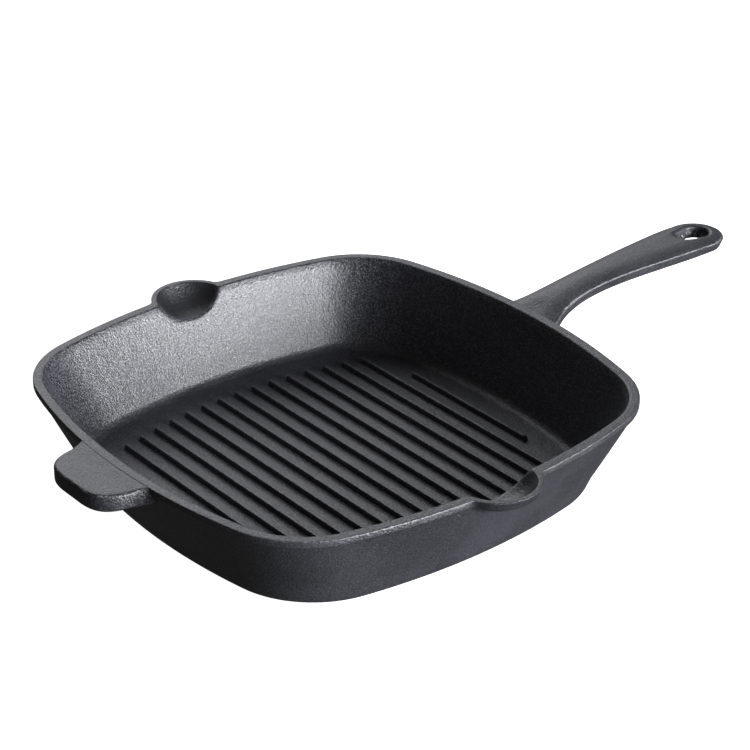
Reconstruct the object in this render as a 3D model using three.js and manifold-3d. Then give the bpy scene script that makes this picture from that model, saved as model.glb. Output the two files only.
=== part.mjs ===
// Square ribbed grill pan in cast iron: one casting with a long handle, a helper tab and two pour spouts.
// Millimetres, +Z up. The origin is the centre of the base, on the surface that the pan stands on.
// +X runs along the long handle, and the two spouts face +Y (right) and -Y (left).
import * as THREE from 'three';
import { mergeVertices } from 'three/addons/utils/BufferGeometryUtils.js';
import Module from 'manifold-3d';

const wasm = await Module();
wasm.setup();

// ---- Driving dimensions ----
const RIM_HALF = 130; // half width across the rim, at the middle of a side
const SPOUT_SIDE_STRETCH = 132 / 130; // the pan is a little longer from spout to spout
const PAN_HEIGHT = 49.5;
const SIDE_BOW_RADIUS = 328; // the sides bow outwards on this radius
const OUTER_CORNER_RADIUS = 50;
const INNER_CORNER_RADIUS = 44;

const BASE_HALF = 110.5; // half width where the wall leaves the rounded bottom edge
const BASE_ROUND = 6.5;
const FLOOR_THICKNESS = 5;
const FOOT_FILLET = 5; // radius between the floor and the wall, inside
const WALL_THICKNESS = 4.8; // measured level, through the foot of the sloping wall
const RIM_WIDTH = 6;
const LIP_HEIGHT = 4; // the band round the rim that stands proud of the wall
const LIP_PROUD = 1.2;
const RIM_ROUND = 1.2;

const RIB_COUNT = 16;
const RIB_PITCH = 10.85;
const RIB_HEIGHT = 2.8;
const RIB_FOOT_WIDTH = 4.2;
const RIB_CREST_WIDTH = 2;
const RIB_FIELD_CENTRE_X = 6.5; // the ribs are set a little towards the long handle
const RIB_FIELD_HALF_X = 92; // the ribs end on a bowed square with these half widths
const RIB_FIELD_HALF_Y = 88;
const RIB_FIELD_BOW_RADIUS = 260;

const SPOUT_CENTRE_Y = 123;
const SPOUT_CENTRE_ABOVE_RIM = 5;
const SPOUT_HOLLOW_RADIUS = 18;
const SPOUT_WALL = 5;
const SPOUT_SQUASH = 0.86; // height of the outer bulge over its width
const SPOUT_HALF_SPAN = 26; // how far along the wall a spout's own section reaches

const HANDLE_END_X = 251; // centre of the handle's round end
const HANDLE_END_RADIUS = 15.2;
const HANDLE_ROOT_X = 130;
const HANDLE_ROOT_TOP = 48;
const HANDLE_RISE = 12.3;
const HANDLE_RISE_LENGTH = 26;
const HANDLE_THICKNESS = 8.4;
const HANDLE_ROOT_EXTRA = 5; // how much thicker it is where it joins the wall
const HANDLE_ROOT_LENGTH = 13;
const HANDLE_SECTION_POWER = 0.62; // 1 gives an oval section, and 0 gives a square-edged one
const HANDLE_SECTION_SIDES = 20;
const HOLE_WIDE = { x: 251, radius: 7 };
const HOLE_NARROW = { x: 243.5, radius: 5.5 };

const TAB_REACH = 153;
const TAB_TOP = 48.3;
const TAB_THICKNESS = 9;

const CORNER_START = 74; // the walls' straight sections end here and the corner sections begin
const TOUCH_GAP = 0.3; // left between pieces that meet on a curved face
const TURN_STEPS = 96;
const IRON = { color: 0x2b2b2e, roughness: 0.62, metalness: 0.35 };

// ---- Outline of the pan ----

// Distance from the centre to a bowed, round-cornered square, in the direction of an angle.
function outlineRadius(angle, half, cornerRadius) {
  const folded = Math.abs(Math.atan2(Math.sin(angle * 4), Math.cos(angle * 4))) / 4;
  const direction = new THREE.Vector2(Math.cos(folded), Math.sin(folded));
  const bowCentre = new THREE.Vector2(half - SIDE_BOW_RADIUS, 0);
  const reach = SIDE_BOW_RADIUS - cornerRadius;
  const shift = bowCentre.x;
  const cornerAt = (shift + Math.sqrt(2 * reach * reach - shift * shift)) / 2;
  const cornerCentre = new THREE.Vector2(cornerAt, cornerAt);
  const tangent = cornerCentre.clone().sub(bowCentre).setLength(SIDE_BOW_RADIUS).add(bowCentre);
  const onSide = folded <= tangent.angle();
  return rayToCircle(direction, onSide ? bowCentre : cornerCentre, onSide ? SIDE_BOW_RADIUS : cornerRadius);
}

function rayToCircle(direction, centre, radius) {
  const along = direction.dot(centre);
  const across = direction.cross(centre);
  return along + Math.sqrt(radius * radius - across * across);
}

// A turned profile whose circle is bent into the pan's outline. Profile points are (half width, height).
function bentLathe(profile, cornerRadius) {
  const geometry = new THREE.LatheGeometry(profile, TURN_STEPS).rotateX(Math.PI / 2);
  const position = geometry.getAttribute('position');
  for (let i = 0; i < position.count; i += 1) {
    const x = position.getX(i);
    const y = position.getY(i);
    const half = Math.hypot(x, y);
    if (half > 1) {
      const bent = outlineRadius(Math.atan2(y, x), half, cornerRadius) / half;
      position.setXY(i, x * bent, y * bent * SPOUT_SIDE_STRETCH);
    }
  }
  return solidFrom(geometry);
}

// ---- Solids ----

function solidFrom(geometry) {
  const bare = geometry.index ? geometry.toNonIndexed() : geometry.clone();
  bare.deleteAttribute('normal');
  bare.deleteAttribute('uv');
  const merged = mergeVertices(bare, 1e-4);
  const vertProperties = new Float32Array(merged.getAttribute('position').array);
  const triVerts = Uint32Array.from(merged.index.array);
  const solid = new wasm.Manifold(new wasm.Mesh({ numProp: 3, vertProperties, triVerts }));
  if (solid.volume() >= 0) return solid;
  for (let i = 0; i < triVerts.length; i += 3) [triVerts[i], triVerts[i + 1]] = [triVerts[i + 1], triVerts[i]];
  return new wasm.Manifold(new wasm.Mesh({ numProp: 3, vertProperties, triVerts }));
}

function blockSolid(low, high) {
  const size = high.map((value, axis) => value - low[axis]);
  const middle = high.map((value, axis) => (value + low[axis]) / 2);
  return solidFrom(new THREE.BoxGeometry(...size).translate(...middle));
}

function arcPoints(centreX, centreY, radius, fromDegrees, toDegrees, steps) {
  return Array.from({ length: steps + 1 }, (_, i) => {
    const angle = THREE.MathUtils.degToRad(fromDegrees + ((toDegrees - fromDegrees) * i) / steps);
    return new THREE.Vector2(centreX + radius * Math.cos(angle), centreY + radius * Math.sin(angle));
  });
}

// ---- The pan body ----

const LIP_BOTTOM = PAN_HEIGHT - LIP_HEIGHT;
const WALL_SLOPE = (RIM_HALF - LIP_PROUD - BASE_HALF) / (LIP_BOTTOM - BASE_ROUND);

function outerHalfAt(height) {
  return BASE_HALF + WALL_SLOPE * (height - BASE_ROUND);
}

function outerShape(grow = 0) {
  const profile = [
    new THREE.Vector2(0, 0),
    ...arcPoints(BASE_HALF - BASE_ROUND, BASE_ROUND, BASE_ROUND, -90, 0, 4),
    new THREE.Vector2(outerHalfAt(LIP_BOTTOM), LIP_BOTTOM),
    new THREE.Vector2(RIM_HALF, LIP_BOTTOM + LIP_PROUD),
    ...arcPoints(RIM_HALF - RIM_ROUND, PAN_HEIGHT - RIM_ROUND, RIM_ROUND, 0, 90, 2),
    new THREE.Vector2(0, PAN_HEIGHT),
  ];
  return bentLathe(profile.map((point) => grownPoint(point, grow)), OUTER_CORNER_RADIUS);
}

function grownPoint(point, grow) {
  return new THREE.Vector2(point.x > 0 ? point.x + grow : 0, point.y);
}

function innerShape() {
  const innerTop = RIM_HALF - RIM_WIDTH;
  const footHalf = outerHalfAt(FLOOR_THICKNESS + FOOT_FILLET) - WALL_THICKNESS;
  const profile = [
    new THREE.Vector2(0, FLOOR_THICKNESS),
    ...arcPoints(footHalf - FOOT_FILLET, FLOOR_THICKNESS + FOOT_FILLET, FOOT_FILLET, -90, -20, 4),
    new THREE.Vector2(innerTop - RIM_ROUND / 2, PAN_HEIGHT - RIM_ROUND),
    new THREE.Vector2(innerTop + RIM_ROUND / 2, PAN_HEIGHT + 1),
    new THREE.Vector2(0, PAN_HEIGHT + 1),
  ];
  return bentLathe(profile, INNER_CORNER_RADIUS);
}

function spoutBall(radius, squash, side) {
  const ball = new THREE.SphereGeometry(radius, 32, 20).rotateX(Math.PI / 2).scale(1, 1, squash);
  ball.translate(0, side * SPOUT_CENTRE_Y, PAN_HEIGHT + SPOUT_CENTRE_ABOVE_RIM);
  return solidFrom(ball);
}

function bowlSolid() {
  const reach = RIM_HALF * 2;
  const aboveRim = blockSolid([-reach, -reach, PAN_HEIGHT], [reach, reach, PAN_HEIGHT * 2]);
  let outside = outerShape();
  let inside = innerShape();
  for (const side of [1, -1]) {
    const bulge = spoutBall(SPOUT_HOLLOW_RADIUS + SPOUT_WALL, SPOUT_SQUASH, side);
    outside = outside.add(bulge.subtract(aboveRim));
    inside = inside.add(spoutBall(SPOUT_HOLLOW_RADIUS, 1, side));
  }
  return outside.subtract(inside);
}

// The casting's wall is cut on level and upright planes into the sections that a foundry drawing would name.
function wallSections() {
  const far = RIM_HALF * 2;
  const near = CORNER_START;
  const spout = SPOUT_HALF_SPAN;
  const sections = {
    wall_handle_side: [[near, far], [-near, near]],
    wall_helper_side: [[-far, -near], [-near, near]],
  };
  for (const [name, low, high] of [['right', near, far], ['left', -far, -near]]) {
    sections[`pour_spout_${name}`] = [[-spout, spout], [low, high]];
    sections[`wall_${name}_handle_end`] = [[spout, near], [low, high]];
    sections[`wall_${name}_helper_end`] = [[-near, -spout], [low, high]];
    sections[`corner_${name}_handle_end`] = [[near, far], [low, high]];
    sections[`corner_${name}_helper_end`] = [[-far, -near], [low, high]];
  }
  return sections;
}

function addBody(group) {
  const bowl = bowlSolid();
  const far = RIM_HALF * 2;
  addPiece(group, 'floor_plate', bowl.intersect(blockSolid([-far, -far, -1], [far, far, FLOOR_THICKNESS])));
  for (const [name, [[x0, x1], [y0, y1]]] of Object.entries(wallSections())) {
    const section = blockSolid([x0, y0, FLOOR_THICKNESS], [x1, y1, PAN_HEIGHT + 1]);
    addPiece(group, name, bowl.intersect(section));
  }
}

// ---- Grill ribs ----

function ribHalfLength(x) {
  const toBowedEnd = RIB_FIELD_HALF_Y - (x * x) / (2 * RIB_FIELD_BOW_RADIUS);
  const toBowedSide = Math.sqrt(2 * RIB_FIELD_BOW_RADIUS * Math.max(RIB_FIELD_HALF_X - Math.abs(x), 0));
  return Math.min(toBowedEnd, toBowedSide);
}

function ribGeometry(x) {
  const end = ribHalfLength(x) - RIB_FOOT_WIDTH / 2;
  const outline = new THREE.Shape();
  outline.absarc(0, end, RIB_FOOT_WIDTH / 2, 0, Math.PI, false);
  outline.absarc(0, -end, RIB_FOOT_WIDTH / 2, Math.PI, Math.PI * 2, false);
  const geometry = new THREE.ExtrudeGeometry(outline, { depth: RIB_HEIGHT, bevelEnabled: false, curveSegments: 6 });
  const position = geometry.getAttribute('position');
  const narrowed = RIB_CREST_WIDTH / RIB_FOOT_WIDTH;
  for (let i = 0; i < position.count; i += 1) {
    if (position.getZ(i) > RIB_HEIGHT / 2) {
      const y = position.getY(i);
      const beyond = Math.max(Math.abs(y) - end, 0) * Math.sign(y);
      position.setXY(i, position.getX(i) * narrowed, y - beyond * (1 - narrowed));
    }
  }
  return geometry.translate(x, 0, FLOOR_THICKNESS);
}

function addRibs(group) {
  for (let i = 0; i < RIB_COUNT; i += 1) {
    const x = RIB_FIELD_CENTRE_X + (i - (RIB_COUNT - 1) / 2) * RIB_PITCH;
    addPiece(group, `grill_rib_${String(i + 1).padStart(2, '0')}`, solidFrom(ribGeometry(x)));
  }
}

// ---- Handles ----

function handleTop(x) {
  const along = Math.max(x - HANDLE_ROOT_X, 0) / HANDLE_RISE_LENGTH;
  return HANDLE_ROOT_TOP + HANDLE_RISE * (1 - Math.exp(-along));
}

function handleThickness(x) {
  return HANDLE_THICKNESS + HANDLE_ROOT_EXTRA * Math.exp(-Math.max(x - HANDLE_ROOT_X, 0) / HANDLE_ROOT_LENGTH);
}

// Half widths from the root, which flares into the wall, past the neck to the round end.
const HANDLE_EDGE = [[118, 32], [127, 23], [133, 16.6], [142, 12.9], [155, 11], [170, 10.6], [188, 11.4],
  [212, 13.3], [234, 14.9], [HANDLE_END_X, HANDLE_END_RADIUS]];

function handleProfile() {
  const edge = new THREE.SplineCurve(HANDLE_EDGE.map(([x, half]) => new THREE.Vector2(half, x))).getPoints(27);
  const roundEnd = arcPoints(0, HANDLE_END_X, HANDLE_END_RADIUS, 10, 90, 8);
  return [new THREE.Vector2(0, HANDLE_EDGE[0][0]), ...edge, ...roundEnd];
}

function towardsSquare(value) {
  return Math.sign(value) * Math.abs(value) ** HANDLE_SECTION_POWER;
}

// Each ring of a turned handle is flattened into a broad, round-edged section that follows the handle's rise.
function handleGeometry() {
  const geometry = new THREE.LatheGeometry(handleProfile(), HANDLE_SECTION_SIDES);
  const position = geometry.getAttribute('position');
  const around = geometry.getAttribute('uv');
  for (let i = 0; i < position.count; i += 1) {
    const x = position.getY(i);
    const half = Math.hypot(position.getX(i), position.getZ(i));
    const angle = around.getX(i) * Math.PI * 2;
    const middle = handleTop(x) - handleThickness(x) / 2;
    const rise = (handleThickness(x) / 2) * towardsSquare(Math.sin(angle));
    position.setXYZ(i, x, half * towardsSquare(Math.cos(angle)), middle + rise);
  }
  return geometry;
}

// The hanging hole is a long round-ended slot, a little wider towards the end of the handle.
function hangingHoleGeometry() {
  const wide = arcPoints(HOLE_WIDE.x, 0, HOLE_WIDE.radius, -90, 90, 8);
  const narrow = arcPoints(HOLE_NARROW.x, 0, HOLE_NARROW.radius, 90, 270, 7);
  const settings = { depth: PAN_HEIGHT, bevelEnabled: false };
  return new THREE.ExtrudeGeometry(new THREE.Shape([...wide, ...narrow]), settings)
    .translate(0, 0, PAN_HEIGHT / 2);
}

function tabGeometry() {
  const reach = -TAB_REACH;
  const outline = new THREE.Shape();
  outline.moveTo(-118, 36);
  outline.lineTo(-127, 31);
  outline.bezierCurveTo(-130, 28.5, -132, 26.8, -138, 25.6);
  outline.bezierCurveTo(-148, 23.8, reach + 0.3, 19, reach, 8);
  outline.lineTo(reach, -8);
  outline.bezierCurveTo(reach + 0.3, -19, -148, -23.8, -138, -25.6);
  outline.bezierCurveTo(-132, -26.8, -130, -28.5, -127, -31);
  outline.lineTo(-118, -36);
  const settings = { depth: TAB_THICKNESS - 2, bevelThickness: 1, bevelSize: 1, bevelOffset: -1, bevelSegments: 1 };
  return new THREE.ExtrudeGeometry(outline, { ...settings, curveSegments: 6 })
    .translate(0, 0, TAB_TOP - TAB_THICKNESS + 1);
}

function addHandles(group) {
  const clearance = outerShape(TOUCH_GAP);
  const handle = solidFrom(handleGeometry()).subtract(solidFrom(hangingHoleGeometry()));
  addPiece(group, 'long_handle', handle.subtract(clearance));
  addPiece(group, 'helper_handle', solidFrom(tabGeometry()).subtract(clearance));
}

// ---- Scene graph ----

function addPiece(group, name, solid) {
  const made = solid.getMesh();
  const geometry = new THREE.BufferGeometry();
  geometry.setAttribute('position', new THREE.BufferAttribute(made.vertProperties.slice(), 3));
  geometry.setIndex(new THREE.BufferAttribute(made.triVerts.slice(), 1));
  geometry.computeVertexNormals();
  const mesh = new THREE.Mesh(geometry, new THREE.MeshStandardMaterial(IRON));
  mesh.name = name;
  group.add(mesh);
}

const pan = new THREE.Group();
addBody(pan);
addRibs(pan);
addHandles(pan);

export default pan;
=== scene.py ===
"""Square ribbed grill pan in cast iron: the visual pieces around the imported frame, in metres."""
import math

import bmesh
import bpy
from bpy.props import FloatProperty, FloatVectorProperty, PointerProperty
from mathutils import Matrix, Vector, geometry, noise


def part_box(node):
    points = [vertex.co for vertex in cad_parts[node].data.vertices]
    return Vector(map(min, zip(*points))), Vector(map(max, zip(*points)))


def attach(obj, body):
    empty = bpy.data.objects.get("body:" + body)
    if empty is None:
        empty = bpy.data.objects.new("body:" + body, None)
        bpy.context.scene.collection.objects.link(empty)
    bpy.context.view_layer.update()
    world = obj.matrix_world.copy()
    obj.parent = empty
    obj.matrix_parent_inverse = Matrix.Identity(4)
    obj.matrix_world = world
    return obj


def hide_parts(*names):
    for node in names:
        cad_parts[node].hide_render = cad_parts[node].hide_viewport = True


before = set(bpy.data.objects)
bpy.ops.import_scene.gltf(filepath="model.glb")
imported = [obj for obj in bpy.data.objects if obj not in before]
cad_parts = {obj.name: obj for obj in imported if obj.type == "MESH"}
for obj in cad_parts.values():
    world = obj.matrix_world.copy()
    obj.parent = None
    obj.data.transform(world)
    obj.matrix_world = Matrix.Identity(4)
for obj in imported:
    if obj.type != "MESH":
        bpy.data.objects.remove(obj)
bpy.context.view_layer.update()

bl_info = {
    "name": "Cast Iron Grill Pan",
    "version": (1, 0, 0),
    "blender": (4, 5, 0),
    "location": "3D View > Sidebar > Grill Pan",
    "description": "Builds a square ribbed grill pan in seasoned cast iron",
    "category": "Add Mesh",
}

MM = 0.001
WELD = 0.01 * MM  # points closer than this become one
WALLS = [f"wall_{side}" for side in ("handle_side", "helper_side")] + [
    f"{kind}_{side}_{end}_end" for kind in ("wall", "corner")
    for side in ("right", "left") for end in ("handle", "helper")]
SPOUTS = ["pour_spout_right", "pour_spout_left"]
RIBS = sorted(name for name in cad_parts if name.startswith("grill_rib"))

RIM_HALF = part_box("wall_handle_side")[1].x
RIM_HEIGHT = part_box("wall_handle_side")[1].z
FLOOR_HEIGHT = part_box("floor_plate")[1].z
RIM_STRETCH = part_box("wall_right_handle_end")[1].y / RIM_HALF
TAB_REACH = -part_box("helper_handle")[0].x


# ---- Properties ----

def length(label, text, millimetres):
    return FloatProperty(name=label, description=text, default=millimetres * MM, min=0,
                         unit="LENGTH", subtype="DISTANCE", precision=4)


def share(label, text, value):
    return FloatProperty(name=label, description=text, default=value, min=0, max=1,
                         subtype="FACTOR")


def amount(label, text, value):
    return FloatProperty(name=label, description=text, default=value)


def bearing(label, text, degrees):
    return FloatProperty(name=label, description=text, default=math.radians(degrees),
                         unit="ROTATION", subtype="ANGLE")


def tone(label, text, value):
    return FloatVectorProperty(name=label, description=text, default=value, size=3, min=0, max=1,
                               subtype="COLOR")


class PanBodySettings(bpy.types.PropertyGroup):
    bow: length("Side bow", "Radius that the sides bow outwards on", 328)
    outer_corner: length("Outer corner", "Radius of the corners outside", 50)
    inner_corner: length("Inner corner", "Radius of the corners inside", 44)
    base_half: length("Base half width", "Half width above the rounded bottom edge", 110.5)
    base_round: length("Base round", "Radius of the bottom edge", 6.5)
    wall: length("Wall", "Thickness of the wall, measured level", 4.8)
    foot: length("Foot fillet", "Radius between the floor and the wall, inside", 6)
    rim_width: length("Rim width", "Width of the rim's top", 6)
    rim_round: length("Rim round", "Radius of the rim's outer edge", 0.55)
    rim_inner_round: length("Rim inner round", "Radius of the rim's inner edge", 1.7)
    lip_height: length("Lip height", "Height of the band round the rim", 4)
    lip_proud: length("Lip proud", "How far that band stands out of the wall", 1.2)


class SpoutSettings(bpy.types.PropertyGroup):
    centre: length("Centre", "Distance of the spout's hollow from the pan's centre", 123)
    above: length("Above rim", "Height of the hollow's centre above the rim", 8)
    hollow: length("Hollow radius", "Radius of the scooped hollow", 20.2)
    shell: length("Shell", "Thickness of the iron round the hollow", 3.9)
    squash: share("Bulge squash", "Height of the outer bulge over its width", 0.86)


class RibSettings(bpy.types.PropertyGroup):
    crest: length("Crest width", "Width of a rib's flat top", 1.2)
    crest_round: length("Crest round", "Radius of the edges of the top", 0.5)
    foot: length("Foot fillet", "Radius between a rib and the floor", 0.7)


class HandleSettings(bpy.types.PropertyGroup):
    crown: length("Crown", "Rise of the rounded top above its edges", 2.1)
    side: length("Side", "Height of the side faces", 6.3)
    edge: length("Edge round", "Radius of the edge along the top", 0.65)
    draft: length("Draft", "How far the sides lean in towards the underside", 1.3)
    under: length("Under round", "Radius of the edge along the underside", 1.6)
    sink: length("Countersink", "Depth of the dished edge round the hanging hole", 1.5)


class TabSettings(bpy.types.PropertyGroup):
    top: length("Top", "Height of the tab's upper face", 48.8)
    thickness: length("Thickness", "Thickness of the tab", 9)
    edge: length("Edge round", "Radius of the tab's edges", 1.6)


class IronSettings(bpy.types.PropertyGroup):
    iron: tone("Iron", "Seasoned iron", (0.008, 0.008, 0.009))
    haze: tone("Haze", "Lighter, drier flecks and patches of the seasoning", (0.096, 0.098, 0.114))
    # Also the colour of the painted highlights on edges
    worn_and_highlight: tone("Worn", "Bare iron on rubbed edges", (0.42, 0.42, 0.43))
    pebble: length("Pebble", "Size of the grain that the sand mould leaves", 1.0)
    relief: length("Relief", "Height of the grain", 0.42)
    roughness: share("Roughness", "Mean roughness of the seasoning", 0.39)


class StudioSettings(bpy.types.PropertyGroup):
    azimuth: bearing("Azimuth", "Direction that the camera looks from", -38.32)
    elevation: bearing("Elevation", "Height of the camera as an angle", 27.8)
    roll: bearing("Roll", "Turn of the camera about its own axis", -0.29)
    distance: length("Distance", "Distance of the camera from the pan", 1217.5)
    aside: length("Aside", "Sideways move of the camera", 20.18)
    lift: length("Lift", "Upward move of the camera", 47.21)
    lens: amount("Lens", "Focal length in millimetres", 116.02)
    floor: tone("Floor", "Plain pale floor", (0.88, 0.88, 0.88))
    glow: share("Floor glow", "Light that the floor gives of its own, which keeps shadows pale", 1)
    sky: amount("Sky", "Strength of the even light", 0.05)
    key: amount("Key", "Strength of the low light", 0.7)
    fill: amount("Fill", "Strength of the light level with the pan", 12.8)
    back: amount("Back", "Strength of the light behind the pan", 0.98)


# ---- Mesh helpers ----

def smooth_step(low, high, value):
    part = min(max((value - low) / (high - low), 0), 1)
    return part * part * (3 - 2 * part)


def arc(centre, radius, start, end, steps):
    """Points on a round stretch, from one angle in degrees to another."""
    angles = [math.radians(start + (end - start) * i / steps) for i in range(steps + 1)]
    return [(centre[0] + radius * math.cos(a), centre[1] + radius * math.sin(a)) for a in angles]


def line(start, end, steps):
    """Points along a straight stretch, without its first and last points."""
    return [tuple(Vector(start).lerp(Vector(end), i / steps)) for i in range(1, steps)]


def chain(mesh, points):
    """Joins points into an open line of edges, for a spin or an extrusion."""
    verts = [mesh.verts.new(point) for point in points]
    for first, second in zip(verts, verts[1:]):
        mesh.edges.new((first, second))
    return verts


def finish_piece(mesh, name, slot, material, *nodes):
    """Closes the mesh and makes it an object that rides on the pan and stands for its CAD nodes."""
    bmesh.ops.remove_doubles(mesh, verts=mesh.verts, dist=WELD)
    bmesh.ops.dissolve_degenerate(mesh, edges=mesh.edges, dist=WELD / 2)
    bmesh.ops.recalc_face_normals(mesh, faces=mesh.faces)
    for face in mesh.faces:
        face.smooth = True
    data = bpy.data.meshes.new(name)
    mesh.to_mesh(data)
    mesh.free()
    piece = bpy.data.objects.new(name, data)
    bpy.context.scene.collection.objects.link(piece)
    piece.data.materials.append(material)
    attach(piece, "root")
    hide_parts(*nodes)
    return piece


# ---- The pan body ----

SPOUT_TURN = math.radians(26)  # part of the turn, over a spout, that has the finer steps
SPOUT_STEPS, SIDE_STEPS = 56, 112
FAN = 20 * MM  # a spout fans out from an upright axis this far behind its centre
ZONE_HALF, ZONE_START, ZONE_BOTTOM = 34 * MM, 100 * MM, 26 * MM  # the box that a spout reshapes
INNER_LEAN, INNER_SQUASH = 0.95, 0.95  # of the inner wall and of the hollow, against the outside
INNER_PART, MOST_OF_WALL = 0.2, 0.7  # places in the wall, from 0 at its inner face to 1 outside
CREASE_ROUNDS, OUTSIDE_ROUNDS, FLARE_ROUNDS = 3, 8, 14  # of softening
FLARE_END = -7 * MM  # a spout flares softly on the helper side of this, and creases beyond it
FLAT_CENTRE = 0.4  # share of the base's half width, round its middle, that needs no squaring off
# reach of the scuffed iron and painted highlight round the rim's outer edge
EDGE_WEAR_AND_HIGHLIGHT_REACH = 0.7 * MM
FLOOR_GRIT, WALL_GRIT = 0.25, 0.5


def outline_radius(angle, half, bow, corner):
    """Distance from the centre to a bowed, round-cornered square, in the direction of an angle."""
    folded = abs(math.atan2(math.sin(angle * 4), math.cos(angle * 4))) / 4
    direction = Vector((math.cos(folded), math.sin(folded)))
    side_centre = Vector((half - bow, 0))
    reach = bow - corner
    across = (side_centre.x + math.sqrt(2 * reach ** 2 - side_centre.x ** 2)) / 2
    corner_centre = Vector((across, across))
    tangent = side_centre + (corner_centre - side_centre).normalized() * bow
    on_side = folded <= math.atan2(tangent.y, tangent.x)
    centre, radius = (side_centre, bow) if on_side else (corner_centre, corner)
    along = direction.dot(centre)
    return along + math.sqrt(radius ** 2 - (centre.length_squared - along ** 2))


class PanProfile:
    """The pan's half section: half widths of its outer and inner wall, and the line round both."""

    def __init__(self, body):
        self.body = body
        self.lip_bottom = RIM_HEIGHT - body.lip_height
        rise = self.lip_bottom - body.base_round
        self.slope = (RIM_HALF - body.lip_proud - body.base_half) / rise

    def outer(self, height):
        return self.body.base_half + self.slope * (height - self.body.base_round)

    def inner(self, height):
        """The inner wall leans a little less, so that the wall thickens towards the rim."""
        low, high = FLOOR_HEIGHT + self.body.foot, RIM_HEIGHT
        part = (height - low) / (high - low)
        at_foot = self.outer(low) - self.body.wall
        at_rim = RIM_HALF - self.body.rim_width
        return at_foot + (at_rim - at_foot) * part

    def lip(self, height):
        """The outer wall with the band round the rim, which starts in a soft step."""
        part = smooth_step(self.lip_bottom - 0.9 * MM, self.lip_bottom + 0.9 * MM, height)
        return self.outer(min(height, self.lip_bottom)) + part * self.body.lip_proud

    def points(self):
        """The line, from the middle of the base round the rim to the middle of the floor.

        Its rows of points lie closer together where a spout reshapes the wall.
        """
        body = self.body
        base = body.base_half - body.base_round
        inner_edge = RIM_HEIGHT - body.rim_inner_round
        outer_top = (self.lip(RIM_HEIGHT) - body.rim_round, RIM_HEIGHT - body.rim_round)
        inner_top = (self.inner(RIM_HEIGHT) + body.rim_inner_round, inner_edge)
        foot_centre = (self.inner(FLOOR_HEIGHT + body.foot) - body.foot, FLOOR_HEIGHT + body.foot)
        lean = math.degrees(math.atan(self.slope))
        outer_low = [body.base_round + i * 4 * MM for i in range(1, 6)]
        outer_high = [self.lip_bottom - 14 * MM + i * MM for i in range(13)]
        lip = [self.lip_bottom + i * 0.3 * MM for i in range(-3, 4)]
        inner_high = [inner_edge - i * 0.8 * MM for i in range(1, 20)]
        inner_low = [inner_high[-1] - i * 4 * MM for i in range(1, 5)]
        return [
            (0, 0), (base * 0.5, 0), (base * 0.96, 0),
            *arc((base, body.base_round), body.base_round, -90, -lean, 8),
            *((self.outer(z), z) for z in outer_low + outer_high),
            *((self.lip(z), z) for z in lip),
            *arc(outer_top, body.rim_round, 0, 90, 6),
            *line((outer_top[0], RIM_HEIGHT), (inner_top[0], RIM_HEIGHT), 4),
            *arc(inner_top, body.rim_inner_round, 90, 180 - lean, 6),
            *((self.inner(z), z) for z in inner_high + inner_low),
            *arc(foot_centre, body.foot, -lean, -90, 10),
            (foot_centre[0] * 0.93, FLOOR_HEIGHT), (foot_centre[0] * 0.5, FLOOR_HEIGHT),
            (0, FLOOR_HEIGHT),
        ]


def spin_profile(mesh, profile):
    """Spins the half section round in four turns, with finer steps over the spouts."""
    verts = chain(mesh, [(radius, 0, height) for radius, height in profile])
    ring = verts + list(mesh.edges)
    start = math.pi / 2 - SPOUT_TURN / 2
    bmesh.ops.rotate(mesh, verts=verts, cent=(0, 0, 0), matrix=Matrix.Rotation(start, 3, "Z"))
    for turn, steps in ((SPOUT_TURN, SPOUT_STEPS), (math.pi - SPOUT_TURN, SIDE_STEPS)) * 2:
        spun = bmesh.ops.spin(mesh, geom=ring, cent=(0, 0, 0), axis=(0, 0, 1), angle=turn,
                              steps=steps, use_merge=False)
        ring = spun["geom_last"]
    bmesh.ops.remove_doubles(mesh, verts=mesh.verts, dist=WELD)


def scoop(offset, height, slope, turn, spout, radius, squash):
    """How far a wall point moves out and down, in the upright plane through it and the fan's axis.

    A point above the crease, where the wall meets the hollow, slides round the hollow's circle.
    """
    middle, aside = FAN * math.cos(turn), FAN * math.sin(turn)
    if radius <= abs(aside):
        return 0, 0
    reach = math.sqrt(radius ** 2 - aside ** 2)
    centre = RIM_HEIGHT + spout.above
    rim = -spout.above / squash
    level = (height - centre) / squash
    lean = slope * squash / math.cos(turn)
    start = offset - lean * level - middle
    at_rim = start + lean * rim
    if at_rim ** 2 + rim ** 2 >= reach ** 2:
        return 0, 0
    half_b = lean * start
    root = half_b ** 2 - (lean ** 2 + 1) * (start ** 2 - reach ** 2)
    crease = (-half_b - math.sqrt(root)) / (lean ** 2 + 1)
    if level <= crease:
        return 0, 0
    part = (rim - level) / (rim - crease)
    from_angle = math.atan2(rim, math.sqrt(reach ** 2 - rim ** 2))
    to_angle = math.atan2(crease, start + lean * crease)
    angle = from_angle + (to_angle - from_angle) * max(part, 0)
    out = middle + reach * math.cos(angle) - offset
    return out, (reach * math.sin(angle) - min(level, rim)) * squash


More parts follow.
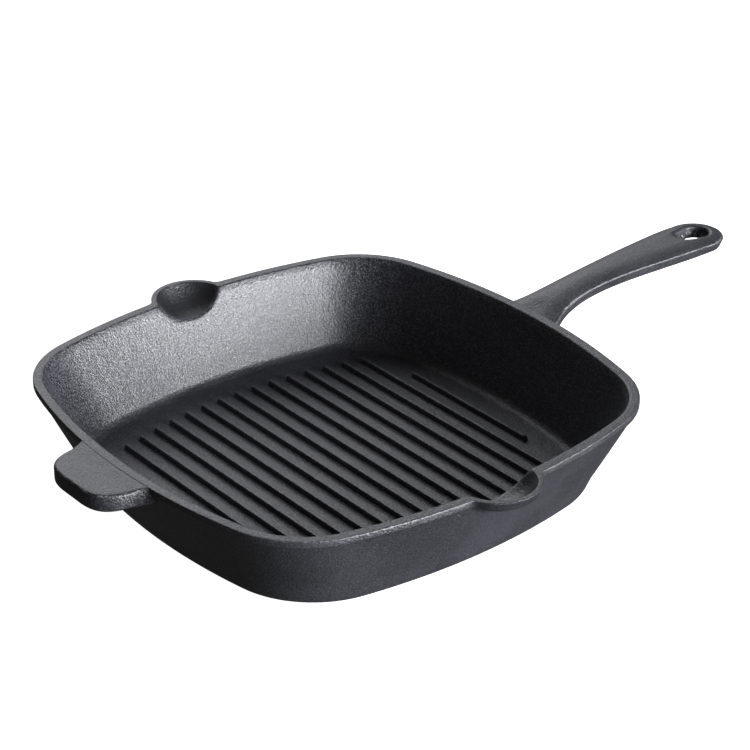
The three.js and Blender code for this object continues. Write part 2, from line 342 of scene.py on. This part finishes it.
def spout_moves(mesh, flat, profile, spout):
    """The unsoftened move of each point near a spout, with the point's place in the wall."""
    moves = {}
    fan_start = spout.centre - FAN
    for vert in mesh.verts:
        across, height = flat[vert]
        if abs(vert.co.x) > ZONE_HALF or abs(vert.co.y) < ZONE_START or height < ZONE_BOTTOM:
            continue
        side = math.copysign(1, vert.co.y)
        arm = Vector((vert.co.x, abs(vert.co.y) - fan_start))
        turn = math.atan2(arm.x, arm.y)
        inner, outer = profile.inner(height), profile.outer(min(height, RIM_HEIGHT))
        away = min(max((across - inner) / (outer - inner), 0), 1)
        move = Vector((0, 0))
        for wall, slope, radius, squash, weight in (
                (inner, profile.slope * INNER_LEAN, spout.hollow, INNER_SQUASH, 1 - away),
                (outer, profile.slope, spout.hollow + spout.shell, spout.squash, away)):
            offset = arm.length + (wall - across) * RIM_STRETCH / math.cos(turn)
            if weight > 0:
                move += weight * Vector(scoop(offset, height, slope, turn, spout, radius, squash))
        out = arm.normalized() * move.x
        moves[vert] = (Vector((out.x, out.y * side, move.y)), away)
    return moves


def soften(moves, rounds, chosen):
    """Averages the moves of chosen neighbours, so that a spout flows into the wall."""
    for _ in range(rounds):
        fresh = {}
        for vert, (move, away) in moves.items():
            near = [edge.other_vert(vert) for edge in vert.link_edges]
            near = [moves[other][0] for other in near if other in moves]
            if near and chosen(vert, away):
                fresh[vert] = (move.lerp(sum(near, Vector()) / len(near), 0.5), away)
        moves.update(fresh)


def build_body(scene):
    """Spins the section, squares it off, then pulls both spouts out of its wall."""
    body = scene.pan_body
    profile = PanProfile(body)
    mesh = bmesh.new()
    wear_and_highlight = mesh.verts.layers.float.new("edge_wear")
    grit = mesh.verts.layers.float.new("grit")
    # hollow marks the inside of a spout's hollow, where the material paints shade
    hollow = mesh.verts.layers.float.new("hollow")
    spin_profile(mesh, profile.points())
    on_edge = body.rim_round * 0.3
    edge = Vector((RIM_HALF - on_edge, RIM_HEIGHT - on_edge))
    flat = {}
    for vert in mesh.verts:
        half, height = vert.co.to_2d().length, vert.co.z
        flat[vert] = (half, height)
        # Scuffed iron and a painted highlight along the rim's outer edge
        vert[wear_and_highlight] = max(0, 1 - (Vector(flat[vert]) - edge).length / EDGE_WEAR_AND_HIGHLIGHT_REACH)
        if half > body.base_half * FLAT_CENTRE:
            skin = profile.outer(height)
            inside = smooth_step(skin - 1 * MM, skin - 4 * MM, half)
            on_wall = smooth_step(FLOOR_HEIGHT + 1 * MM, FLOOR_HEIGHT + 4 * MM, height)
            vert[grit] = inside * (FLOOR_GRIT + WALL_GRIT * on_wall)
            corner = body.outer_corner + (body.inner_corner - body.outer_corner) * inside
            angle = math.atan2(vert.co.y, vert.co.x)
            bent = outline_radius(angle, half, body.bow, corner) / half
            vert.co = (vert.co.x * bent, vert.co.y * bent * RIM_STRETCH, height)
    moves = spout_moves(mesh, flat, profile, scene.pan_spout)
    soften(moves, CREASE_ROUNDS, lambda vert, away: away < INNER_PART)
    soften(moves, OUTSIDE_ROUNDS, lambda vert, away: away >= INNER_PART)
    soften(moves, FLARE_ROUNDS, lambda vert, away: vert.co.x < FLARE_END and away < MOST_OF_WALL)
    for vert, (move, away) in moves.items():
        vert.co += move
        # Painted shade in the spout's hollow, which also gets fewer flecks
        vert[hollow] = smooth_step(1 * MM, 3 * MM, move.length) * (1 - away)
        vert[grit] *= 1 - vert[hollow]
    return mesh


class GRILLPAN_OT_body(bpy.types.Operator):
    """Build the bowl of the pan: floor, walls, rim and both pour spouts in one skin"""
    bl_idname = "grillpan.body"
    bl_label = "Pan Body"

    def execute(self, context):
        scene = context.scene
        mesh = build_body(scene)
        material = seasoned_iron("pan_iron", scene.pan_iron, flecks=0.25)
        finish_piece(mesh, "pan_body", "pan_casting", material, "floor_plate", *WALLS, *SPOUTS)
        return {"FINISHED"}


# ---- Grill ribs ----

RIB_SEGMENTS = 24
RIB_DRAFT, RIB_SINK = 0.45 * MM, 0.4 * MM  # lean of the sides, and how deep the foot is in the floor
CREST_EDGE = (1, 2, 3)  # loops on the rounded edge of a rib's crest, which get scuffed iron and a painted highlight


def rib_steps(ribs, height):
    """Growth and height of each loop of a rib, from the crest down to the floor."""
    crest = arc((ribs.crest / 2, height - ribs.crest_round), ribs.crest_round, 90, 15, 4)
    foot_out = ribs.crest / 2 + ribs.crest_round + RIB_DRAFT + ribs.foot
    foot = arc((foot_out, ribs.foot), ribs.foot, 165, 270, 5)
    return [*crest, *foot, (foot_out, -RIB_SINK)]


def build_rib(ribs, low, high):
    """A round-ended rib between two corners of its box, grown loop by loop from its crest."""
    centre = (low + high) / 2
    mesh = bmesh.new()
    steps = rib_steps(ribs, high.z - low.z)
    widest = steps[-1][0]
    end = (high.y - low.y) / 2 - widest
    wear_and_highlight = mesh.verts.layers.float.new("edge_wear")
    bmesh.ops.create_circle(mesh, cap_ends=True, segments=RIB_SEGMENTS, radius=1)
    half_step = Matrix.Rotation(math.pi / RIB_SEGMENTS, 3, "Z")
    bmesh.ops.rotate(mesh, verts=mesh.verts, cent=(0, 0, 0), matrix=half_step)
    loop = list(mesh.verts)
    spread = {vert: vert.co.copy() for vert in loop}
    edges = list(mesh.edges)
    for index, (grow, height) in enumerate(steps):
        if index:
            made = bmesh.ops.extrude_edge_only(mesh, edges=edges)["geom"]
            fresh = [item for item in made if isinstance(item, bmesh.types.BMVert)]
            old = {tuple(round(c, 7) for c in vert.co): spread[vert] for vert in loop}
            spread = {vert: old[tuple(round(c, 7) for c in vert.co)] for vert in fresh}
            edges = [item for item in made if isinstance(item, bmesh.types.BMEdge)
                     and all(vert in spread for vert in item.verts)]
            loop = fresh
        for vert in loop:
            unit = spread[vert]
            along = math.copysign(end, unit.y)
            vert.co = (centre.x + unit.x * grow, centre.y + along + unit.y * grow, low.z + height)
            vert[wear_and_highlight] = 1 if index in CREST_EDGE else 0
    return mesh


class GRILLPAN_OT_ribs(bpy.types.Operator):
    """Build the grill ribs, one for each rib of the frame"""
    bl_idname = "grillpan.ribs"
    bl_label = "Grill Ribs"

    def execute(self, context):
        scene = context.scene
        # The crest edges carry scuffed iron and a painted highlight
        material = seasoned_iron("rib_iron", scene.pan_iron, wear_and_highlight=0.32)
        for name in RIBS:
            mesh = build_rib(scene.pan_ribs, *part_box(name))
            finish_piece(mesh, name.replace("grill_rib", "rib"), "grill_ribs", material, name)
        return {"FINISHED"}


# ---- Long handle ----

# Distances along the handle and its half width at each, in millimetres.
HANDLE_EDGE = [(121, 33), (127, 26.2), (133, 18.4), (142, 13.5), (155, 11.1),
               (170, 10.6), (188, 11.4), (212, 13.3), (234, 14.9), (251, 15.2)]
END_X, END_RADIUS = (value * MM for value in HANDLE_EDGE[-1])
ROOT_X, ROOT_TOP = 130, 48  # where the handle leaves the wall, in millimetres
HANDLE_RISE, RISE_LENGTH, ROOT_LENGTH = 12.2, 26, 12  # in millimetres
ROOT_START = RIM_HALF - 3.6 * MM  # inside the wall, just short of its inner face
ROOT_DEEPER, ROOT_ROUND, END_ROUND = 5 * MM, 3 * MM, 1.0 * MM  # what the root and the end add
WALL_LEAN = 0.47  # how far the wall leans out for each unit of height
CROWN_REACH = 9.5 * MM  # from the edge in to where the crown is at its full height
HOLE_WIDE, HOLE_NARROW = (251 * MM, 7 * MM), (243.5 * MM, 5.5 * MM)  # centre and radius of each end
HOLE_DISH = 2.2 * MM  # width of the dished edge round the hole
FLASH_HALF, FLASH_REACH = 2.6 * MM, 2.5 * MM  # half the height of the flash, and how far in it goes


def handle_half(along):
    """Half width of the handle at a place along it, on a smooth curve through HANDLE_EDGE."""
    points = [Vector(point) * MM for point in HANDLE_EDGE]
    index = max(i for i in range(len(points) - 1) if points[i].x <= along or i == 0)
    before, here = points[max(index - 1, 0)], points[index]
    after, beyond = points[index + 1], points[min(index + 2, len(points) - 1)]
    t = (along - here.x) / (after.x - here.x)
    lean_in = (after.y - before.y) / (after.x - before.x) * (after.x - here.x)
    lean_out = (beyond.y - here.y) / (beyond.x - here.x) * (after.x - here.x)
    return ((2 * t ** 3 - 3 * t ** 2 + 1) * here.y + (t ** 3 - 2 * t ** 2 + t) * lean_in
            + (3 * t ** 2 - 2 * t ** 3) * after.y + (t ** 3 - t ** 2) * lean_out)


def handle_top(along):
    """Height of the middle of the handle's top, which climbs away from the wall and levels out."""
    risen = 1 - math.exp(-max(along / MM - ROOT_X, 0) / RISE_LENGTH)
    return (ROOT_TOP + HANDLE_RISE * risen) * MM


def hole_gap(along, across):
    """Distance from the edge of the hanging hole, which widens towards the end of the handle."""
    (wide_x, wide), (narrow_x, narrow) = HOLE_WIDE, HOLE_NARROW
    part = min(max((along - narrow_x) / (wide_x - narrow_x), 0), 1)
    centre = narrow_x + (wide_x - narrow_x) * part
    return math.hypot(along - centre, across) - (narrow + (wide - narrow) * part)


def handle_section(handle, place):
    """One ring round the handle, and the strength of the scuffed iron and painted highlight at each
    of its points.

    place is a distance along the handle. Beyond END_X it goes round the arc of the rounded end.
    """
    past_end = place > END_X
    tilt = min((place - END_X) / END_RADIUS, math.pi / 2) if past_end else 0
    along = min(place, END_X)
    half = handle_half(along)
    near_wall = math.exp(-max(along / MM - ROOT_X, 0) / ROOT_LENGTH)
    near_end = smooth_step(238 * MM, 262 * MM, place)
    round_off = handle.edge + ROOT_ROUND * near_wall + END_ROUND * near_end
    edge = handle_top(along) - handle.crown
    bottom = edge - handle.side - ROOT_DEEPER * near_wall
    wall_lean = WALL_LEAN * (1 - smooth_step(126 * MM, 138 * MM, place))

    def point(inset, height, across=1):
        reach = half - inset
        x = along + reach * math.sin(tilt) - wall_lean * (RIM_HEIGHT - height)
        return Vector((x, reach * math.cos(tilt) * across, height))

    def crown(across, inset, base, rise):
        spot = point(inset, base, across)
        from_edge = half - inset - (math.hypot(spot.x - END_X, spot.y) if past_end else abs(spot.y))
        spot.z += rise * (1 - (1 - min(max(from_edge, 0) / CROWN_REACH, 1)) ** 2)
        return spot

    across = [math.sin(math.radians(90 * i / 14)) for i in range(14)]
    upper = [crown(part, round_off, edge, handle.crown) for part in across]
    shoulder = edge - round_off
    edge_round = [point(round_off - x, shoulder + z) for x, z in arc((0, 0), round_off, 78, 8, 5)]
    side_height = shoulder - bottom - handle.under
    side = [point(handle.draft * i / 4, shoulder - side_height * i / 4) for i in range(1, 4)]
    under_inset = handle.draft + handle.under
    under_round = [point(under_inset - x, bottom + handle.under + z)
                   for x, z in arc((0, 0), handle.under, -6, -80, 4)]
    under = [crown(part, under_inset, bottom, 0) for part in reversed(across)]
    half_ring = upper + edge_round + side + under_round + under
    mirrored = [Vector((p.x, -p.y, p.z)) for p in reversed(half_ring[1:-1])]
    # The edge round along the top carries scuffed iron and a painted highlight
    wear_and_highlight = [0] * len(upper) + [0.5, 1, 1, 0.6, 0.2, 0]
    wear_and_highlight += [0] * (len(half_ring) - len(wear_and_highlight))
    return half_ring + mirrored, wear_and_highlight + wear_and_highlight[1:-1][::-1]


def build_handle(handle):
    """Extrudes ring after ring, from inside the wall to the rounded end, and opens the hole."""
    start, step = ROOT_START, 1.1 * MM
    count = round((END_X - start) / step)
    places = [start + (END_X - start) * i / count for i in range(count + 1)]
    places += [END_X + END_RADIUS * math.pi / 2 * i / 18 for i in range(1, 19)]
    mesh = bmesh.new()
    layer = mesh.verts.layers.float.new("edge_wear")
    ring, _ = handle_section(handle, places[0])
    loop = chain(mesh, ring)
    mesh.edges.new((loop[-1], loop[0]))
    mesh.faces.new(loop)
    edges = list(mesh.edges)
    for place in places:
        ring, wear_and_highlight = handle_section(handle, place)
        if place != places[0]:
            made = bmesh.ops.extrude_edge_only(mesh, edges=edges)["geom"]
            fresh = {tuple(v.co): v for v in made if isinstance(v, bmesh.types.BMVert)}
            loop = [fresh[tuple(vert.co)] for vert in loop]
            kept = set(loop)
            edges = [e for e in made if isinstance(e, bmesh.types.BMEdge) and set(e.verts) <= kept]
        for vert, spot, value in zip(loop, ring, wear_and_highlight):
            vert.co = spot
            vert[layer] = value
    bmesh.ops.remove_doubles(mesh, verts=mesh.verts, dist=2 * WELD)
    cut_hanging_hole(mesh, layer, handle)
    return mesh


def cut_hanging_hole(mesh, layer, handle):
    """Opens the hole through both faces, dishes its edge and leaves rough flash half way down."""
    bmesh.ops.recalc_face_normals(mesh, faces=mesh.faces)
    inside = [face for face in mesh.faces if abs(face.normal.z) > 0.5
              and hole_gap(*face.calc_center_median().to_2d()) < 0]
    bmesh.ops.delete(mesh, geom=inside, context="FACES")
    rim = [edge for edge in mesh.edges if edge.is_boundary
           and abs(hole_gap(*edge.verts[0].co.to_2d())) < 3 * MM]
    lips = {vert for edge in rim for vert in edge.verts}
    for vert in lips:
        gap = hole_gap(vert.co.x, vert.co.y)
        nudge = 0.01 * MM
        pull = Vector((hole_gap(vert.co.x + nudge, vert.co.y) - gap,
                       hole_gap(vert.co.x, vert.co.y + nudge) - gap, 0))
        vert.co -= pull.normalized() * gap
    middle = handle_top(HOLE_WIDE[0]) - handle.crown - handle.side / 2
    for vert in mesh.verts:
        gap = hole_gap(vert.co.x, vert.co.y)
        if gap < HOLE_DISH and vert.co.x > HOLE_NARROW[0] - 10 * MM:
            depth = handle.sink * (1 - max(gap, 0) / HOLE_DISH) ** 2
            vert.co.z += -depth if vert.co.z > middle else depth * 0.6
    walls = bmesh.ops.bridge_loops(mesh, edges=rim)
    upright = [edge for edge in walls["edges"]
               if abs(edge.verts[0].co.z - edge.verts[1].co.z) > 2 * MM]
    cut = bmesh.ops.subdivide_edges(mesh, edges=upright, cuts=7, use_grid_fill=True)
    for vert in {item for item in cut["geom_inner"] if isinstance(item, bmesh.types.BMVert)}:
        level = 1 - min(abs(vert.co.z - middle) / FLASH_HALF, 1)
        centre = Vector(((HOLE_WIDE[0] + HOLE_NARROW[0]) / 2, 0, vert.co.z))
        ragged = 0.8 + 0.7 * noise.noise(vert.co * 900)
        flash = max(level, 0) ** 1.5 * max(ragged, 0) * FLASH_REACH
        vert.co += (centre - vert.co).normalized() * flash
        vert[layer] = min(1, flash / EDGE_WEAR_AND_HIGHLIGHT_REACH)


class GRILLPAN_OT_handle(bpy.types.Operator):
    """Build the long handle with its crowned top and hanging hole"""
    bl_idname = "grillpan.handle"
    bl_label = "Long Handle"

    def execute(self, context):
        scene = context.scene
        material = seasoned_iron("handle_iron", scene.pan_iron, wear_and_highlight=0.75)
        finish_piece(build_handle(scene.pan_handle), "long_handle_casting", "handle_casting",
                     material, "long_handle")
        return {"FINISHED"}


# ---- Helper tab ----

TAB_ROOT = (125, 31.4)  # where the outline starts, in millimetres
TAB_CUTS = range(128, 139)  # cuts across the root, in millimetres, so that it can rise to the rim
TAB_INSET, TAB_BELOW_RIM = 0.8 * MM, 0.2 * MM


def tab_outline():
    """Half of the tab's outline in plan, from its root in the wall to the flat of its end."""
    reach = TAB_REACH / MM
    bends = [[(127, 31), (130, 28.5), (132, 26.8), (138, 25.6)],
             [(138, 25.6), (148, 23.8), (reach - 0.3, 19), (reach, 8)]]
    points = [Vector((*TAB_ROOT, 0))]
    for bend in bends:
        corners = [Vector((*point, 0)) for point in bend]
        points += geometry.interpolate_bezier(*corners, 14)
    return [Vector((-point.x, point.y, 0)) * MM for point in points]


def build_tab(tab):
    """Extrudes the outline, rounds its edges and blends its root into the rim."""
    mesh = bmesh.new()
    wear_and_highlight = mesh.verts.layers.float.new("edge_wear")
    half = tab_outline()
    outline = half + [Vector((p.x, -p.y, 0)) for p in reversed(half)]
    for point in outline:
        mesh.verts.new(point + Vector((0, 0, tab.top)))
    bmesh.ops.remove_doubles(mesh, verts=mesh.verts, dist=WELD)
    face = mesh.faces.new(mesh.verts)
    down = bmesh.ops.extrude_face_region(mesh, geom=[face])["geom"]
    verts = [item for item in down if isinstance(item, bmesh.types.BMVert)]
    bmesh.ops.translate(mesh, verts=verts, vec=(0, 0, -tab.thickness))
    bmesh.ops.recalc_face_normals(mesh, faces=mesh.faces)
    level = [edge for edge in mesh.edges
             if abs(edge.verts[0].co.z - edge.verts[1].co.z) < 0.1 * MM]
    made = bmesh.ops.bevel(mesh, geom=level, offset=tab.edge, segments=5, profile=0.5,
                           affect="EDGES", material=-1)
    for vert in made["verts"]:
        # Scuffed iron and a painted highlight just below the top edge
        drop = tab.top - vert.co.z
        vert[wear_and_highlight] = max(0, 1 - abs(drop - 0.3 * tab.edge) / (0.5 * tab.edge))
    broad = [face for face in mesh.faces if abs(face.normal.z) > 0.99 and face.calc_area() > 0.001]
    for _ in range(2):
        bmesh.ops.inset_region(mesh, faces=broad, thickness=TAB_INSET)
    for vert in {vert for face in broad for vert in face.verts}:
        vert[wear_and_highlight] = 0
    for cut in TAB_CUTS:
        parts = list(mesh.verts) + list(mesh.edges) + list(mesh.faces)
        bmesh.ops.bisect_plane(mesh, geom=parts, plane_co=(-cut * MM, 0, 0), plane_no=(1, 0, 0))
    rise = RIM_HEIGHT - TAB_BELOW_RIM - tab.top
    for vert in mesh.verts:
        reach = -vert.co.x
        vert.co.x += WALL_LEAN * (tab.top - vert.co.z) * smooth_step(134 * MM, 126 * MM, reach)
        upper = smooth_step(tab.top - tab.edge, tab.top, vert.co.z)
        vert.co.z += rise * upper * (1 - smooth_step(130 * MM, 138 * MM, reach))
    return mesh


class GRILLPAN_OT_tab(bpy.types.Operator):
    """Build the helper tab opposite the long handle"""
    bl_idname = "grillpan.tab"
    bl_label = "Helper Tab"

    def execute(self, context):
        scene = context.scene
        material = seasoned_iron("tab_iron", scene.pan_iron, wear_and_highlight=0.6)
        finish_piece(build_tab(scene.pan_tab), "helper_tab_casting", "handle_casting", material,
                     "helper_handle")
        return {"FINISHED"}


# ---- Shader graph ----

class Value:
    """A shader socket that takes part in sums: each operator adds one Math node."""

    def __init__(self, graph, socket):
        self.graph, self.socket = graph, socket

    def calculate(self, operation, *values):
        return self.graph.node("ShaderNodeMath", {"operation": operation}, dict(enumerate(values)))

    def __add__(self, other):
        return self.calculate("ADD", self, other)

    def __sub__(self, other):
        return self.calculate("SUBTRACT", self, other)

    def __rsub__(self, other):
        return self.calculate("SUBTRACT", other, self)

    def __mul__(self, other):
        return self.calculate("MULTIPLY", self, other)

    __radd__, __rmul__ = __add__, __mul__

    def range(self, low, high):
        """0 below low and 1 above high, with a smooth change between them."""
        return self.graph.node("ShaderNodeMapRange", {"interpolation_type": "SMOOTHSTEP"},
                               {"Value": self, "From Min": low, "From Max": high})


class Graph:
    """A material's node tree."""

    def __init__(self, material):
        material.use_nodes = True
        self.tree = material.node_tree
        self.shader = next(node for node in self.tree.nodes if node.type == "BSDF_PRINCIPLED")

    def node(self, kind, settings=None, sockets=None, output=0):
        made = self.tree.nodes.new(kind)
        for key, value in (settings or {}).items():
            setattr(made, key, value)
        for key, value in (sockets or {}).items():
            self.feed(made.inputs[key], value)
        return Value(self, made.outputs[output])

    def feed(self, socket, value):
        if isinstance(value, Value):
            self.tree.links.new(value.socket, socket)
        else:
            socket.default_value = value

    def feed_shader(self, values):
        for key, value in values.items():
            self.feed(self.shader.inputs[key], value)

    def blend(self, factor, first, second):
        """Mixes two colours."""
        colours = {0: factor, 6: first, 7: second}
        return self.node("ShaderNodeMix", {"data_type": "RGBA"}, colours, 2)

    def noise(self, place, size, detail=2, rough=0.5):
        return self.node("ShaderNodeTexNoise", {}, {
            "Vector": place, "Scale": 1 / size, "Detail": detail, "Roughness": rough})

    def attribute(self, name):
        return self.node("ShaderNodeAttribute", {"attribute_name": name}, {}, "Fac")


def rgba(colour):
    return (*colour, 1)


WHITE, BLACK = (1, 1, 1, 1), (0, 0, 0, 1)
PATCH_SIZE, SWELL_SIZE, RAGGED_SIZE, LINT_SPACING = 34 * MM, 7 * MM, 2.6 * MM, 14 * MM
MEAN_HAZE, PATCH_HAZE = 0.26, 0.12  # how far the seasoning is hazed, and what patches add to that
PAINTED_HOLLOW_SHADE = 0.85  # share of the haze that the painted shade takes out of a spout's hollow
SHEEN = 0.75


def seasoned_iron(name, iron, wear_and_highlight=0.3, flecks=0.5):
    """Seasoned cast iron, with scuffed metal, painted highlights, flecks and painted shade where the
    mesh's attributes put them.

    The edge attribute lays scuffed iron and a painted highlight on edges, grit adds flecks, and the
    hollow attribute paints shade into a spout's hollow.
    """
    material = bpy.data.materials.new(name)
    graph = Graph(material)
    place = graph.node("ShaderNodeTexCoord", {}, {}, "Object")
    grain = graph.noise(place, iron.pebble, 3, 0.62)
    fine = graph.noise(place, iron.pebble * 0.42, 2, 0.6)
    fleck = graph.noise(place, iron.pebble * 0.8, 1, 0.5).range(0.5, 0.62)
    cells = graph.node("ShaderNodeTexVoronoi", {"feature": "SMOOTH_F1"},
                       {"Vector": place, "Scale": 1 / (iron.pebble * 1.25), "Smoothness": 0.6})
    patches = graph.noise(place, PATCH_SIZE, 3, 0.55)
    swells = graph.noise(place, SWELL_SIZE, 2, 0.5)
    ragged = graph.noise(place, RAGGED_SIZE, 3, 0.7)
    # Edge marks: scuffed iron that also stands in for the edges' highlights
    rubbed_and_highlit = (graph.attribute("edge_wear") * ragged.range(0.42, 0.6)).range(0.4, 0.9) * wear_and_highlight
    grit = graph.attribute("grit") + flecks
    patched = patches.range(0.35, 0.68) * PATCH_HAZE
    # Painted shade: darkens the seasoning in a spout's hollow
    painted_shade = 1 - graph.attribute("hollow") * PAINTED_HOLLOW_SHADE
    speckle = (patched + (fleck - MEAN_HAZE) * grit + MEAN_HAZE) * painted_shade
    seasoning = graph.blend(speckle, rgba(iron.iron), rgba(iron.haze))
    lint = graph.node("ShaderNodeTexVoronoi", {}, {"Vector": place, "Scale": 1 / LINT_SPACING})
    # Scuffed iron and painted highlights on edges, plus small light specks of lint
    bare_and_highlit = rubbed_and_highlit + (1 - lint.range(0.018, 0.03)) * 0.5
    colour = graph.blend(bare_and_highlit, seasoning, rgba(iron.worn_and_highlight))
    roughness = iron.roughness + (grain - 0.5) * 0.45 + (patches - 0.5) * 0.12 - rubbed_and_highlit * 0.08
    relief = grain * 0.5 + fine * 0.25 + (1 - cells) * 0.35 + swells * 0.7
    bump = graph.node("ShaderNodeBump", {},
                      {"Height": relief, "Distance": iron.relief, "Strength": 1.0})
    graph.feed_shader({"Base Color": colour, "Roughness": roughness, "Metallic": rubbed_and_highlit * 0.8,
                       "Normal": bump, "Specular IOR Level": SHEEN})
    return material


# ---- Studio ----

STAGE_REACH = 9  # radius of the dome and half the width of the floor, in metres
LIGHT_COLOUR = (0.94, 0.96, 1)
# Name, then azimuth, elevation and spread in degrees, then the setting that holds the strength.
LIGHTS = [("key_light", -55, 15, 40, "key"), ("fill_light", -71, 3, 42, "fill"),
          ("back_light", 65, 30, 42, "back")]


def add_camera(scene, studio):
    """The camera, at its distance along its own axis and then moved aside and up."""
    a, e, r = studio.azimuth, studio.elevation, studio.roll
    back = Vector((math.sin(a) * math.cos(e), -math.cos(a) * math.cos(e), math.sin(e)))
    level = Vector((math.cos(a), math.sin(a), 0))
    up = back.cross(level)
    right = math.cos(r) * level + math.sin(r) * up
    above = back.cross(right)
    data = bpy.data.cameras.new("camera")
    data.lens = studio.lens
    data.dof.use_dof = False
    camera = bpy.data.objects.new("camera", data)
    axes = Matrix((right, above, back)).transposed().to_4x4()
    spot = studio.aside * right + studio.lift * above + studio.distance * back
    camera.matrix_world = Matrix.Translation(spot) @ axes
    scene.collection.objects.link(camera)
    scene.camera = camera


def add_soft_sun(scene, name, azimuth, elevation, spread, strength):
    """A broad, distant light. Azimuth 0 is towards +X, and 90 towards +Y."""
    a, e = math.radians(azimuth), math.radians(elevation)
    data = bpy.data.lights.new(name, "SUN")
    data.angle = math.radians(spread)
    data.energy = strength
    data.color = LIGHT_COLOUR
    light = bpy.data.objects.new(name, data)
    light.location = (math.cos(a) * math.cos(e), math.sin(a) * math.cos(e), math.sin(e))
    light.rotation_euler = (-light.location).to_track_quat("-Z", "Y").to_euler()
    scene.collection.objects.link(light)


def stage_piece(scene, mesh, name, material_name, shader_values):
    """A piece of the studio in one plain material."""
    data = bpy.data.meshes.new(name)
    mesh.to_mesh(data)
    mesh.free()
    material = bpy.data.materials.new(material_name)
    Graph(material).feed_shader(shader_values)
    data.materials.append(material)
    piece = bpy.data.objects.new(name, data)
    scene.collection.objects.link(piece)
    return piece


def add_backdrop(scene):
    """A white dome that only the camera sees, so that the lights alone shape the iron."""
    mesh = bmesh.new()
    bmesh.ops.create_uvsphere(mesh, u_segments=24, v_segments=12, radius=STAGE_REACH)
    dome = stage_piece(scene, mesh, "studio_backdrop", "backdrop_white", {
        "Base Color": BLACK, "Specular IOR Level": 0,
        "Emission Color": WHITE, "Emission Strength": 1})
    for ray in ("diffuse", "glossy", "transmission", "volume_scatter", "shadow"):
        setattr(dome, f"visible_{ray}", False)


def add_floor(scene, studio):
    """A pale floor that glows, and that the iron neither reflects nor is lit by."""
    mesh = bmesh.new()
    bmesh.ops.create_grid(mesh, x_segments=8, y_segments=8, size=STAGE_REACH)
    floor = stage_piece(scene, mesh, "studio_floor", "floor_paper", {
        "Base Color": rgba(studio.floor), "Roughness": 0.9, "Specular IOR Level": 0.1,
        "Emission Color": WHITE, "Emission Strength": studio.glow})
    floor.visible_glossy = floor.visible_diffuse = False


class GRILLPAN_OT_studio(bpy.types.Operator):
    """Set up the camera, the soft lights and the pale floor"""
    bl_idname = "grillpan.studio"
    bl_label = "Studio"

    def execute(self, context):
        scene = context.scene
        studio = scene.pan_studio
        add_camera(scene, studio)
        add_floor(scene, studio)
        add_backdrop(scene)
        for name, azimuth, elevation, spread, strength in LIGHTS:
            add_soft_sun(scene, name, azimuth, elevation, spread, getattr(studio, strength))
        world = bpy.data.worlds.new("studio")
        world.use_nodes = True
        sky = world.node_tree.nodes["Background"].inputs
        sky["Color"].default_value = WHITE
        sky["Strength"].default_value = studio.sky
        scene.world = world
        scene.view_settings.view_transform = "Standard"
        return {"FINISHED"}


# ---- Panel and registration ----

SETTINGS = {"pan_body": PanBodySettings, "pan_spout": SpoutSettings, "pan_ribs": RibSettings,
            "pan_handle": HandleSettings, "pan_tab": TabSettings, "pan_iron": IronSettings,
            "pan_studio": StudioSettings}
OPERATORS = [GRILLPAN_OT_studio, GRILLPAN_OT_body, GRILLPAN_OT_ribs, GRILLPAN_OT_handle,
             GRILLPAN_OT_tab]


class VIEW3D_PT_grillpan(bpy.types.Panel):
    bl_label = "Grill Pan"
    bl_space_type = "VIEW_3D"
    bl_region_type = "UI"
    bl_category = "Grill Pan"

    def draw(self, context):
        for operator in OPERATORS:
            self.layout.operator(operator.bl_idname)
        for name, settings in SETTINGS.items():
            box = self.layout.box()
            box.label(text=name.replace("_", " "))
            for key in settings.__annotations__:
                box.prop(getattr(context.scene, name), key)


def register():
    for cls in [*SETTINGS.values(), *OPERATORS, VIEW3D_PT_grillpan]:
        bpy.utils.register_class(cls)
    for name, settings in SETTINGS.items():
        setattr(bpy.types.Scene, name, PointerProperty(type=settings))


def unregister():
    for name in SETTINGS:
        delattr(bpy.types.Scene, name)
    for cls in [VIEW3D_PT_grillpan, *reversed(OPERATORS), *reversed(SETTINGS.values())]:
        bpy.utils.unregister_class(cls)


def main():
    register()
    bpy.ops.grillpan.studio()
    bpy.ops.grillpan.body()
    bpy.ops.grillpan.ribs()
    bpy.ops.grillpan.handle()
    bpy.ops.grillpan.tab()


if __name__ == "__main__":
    main()
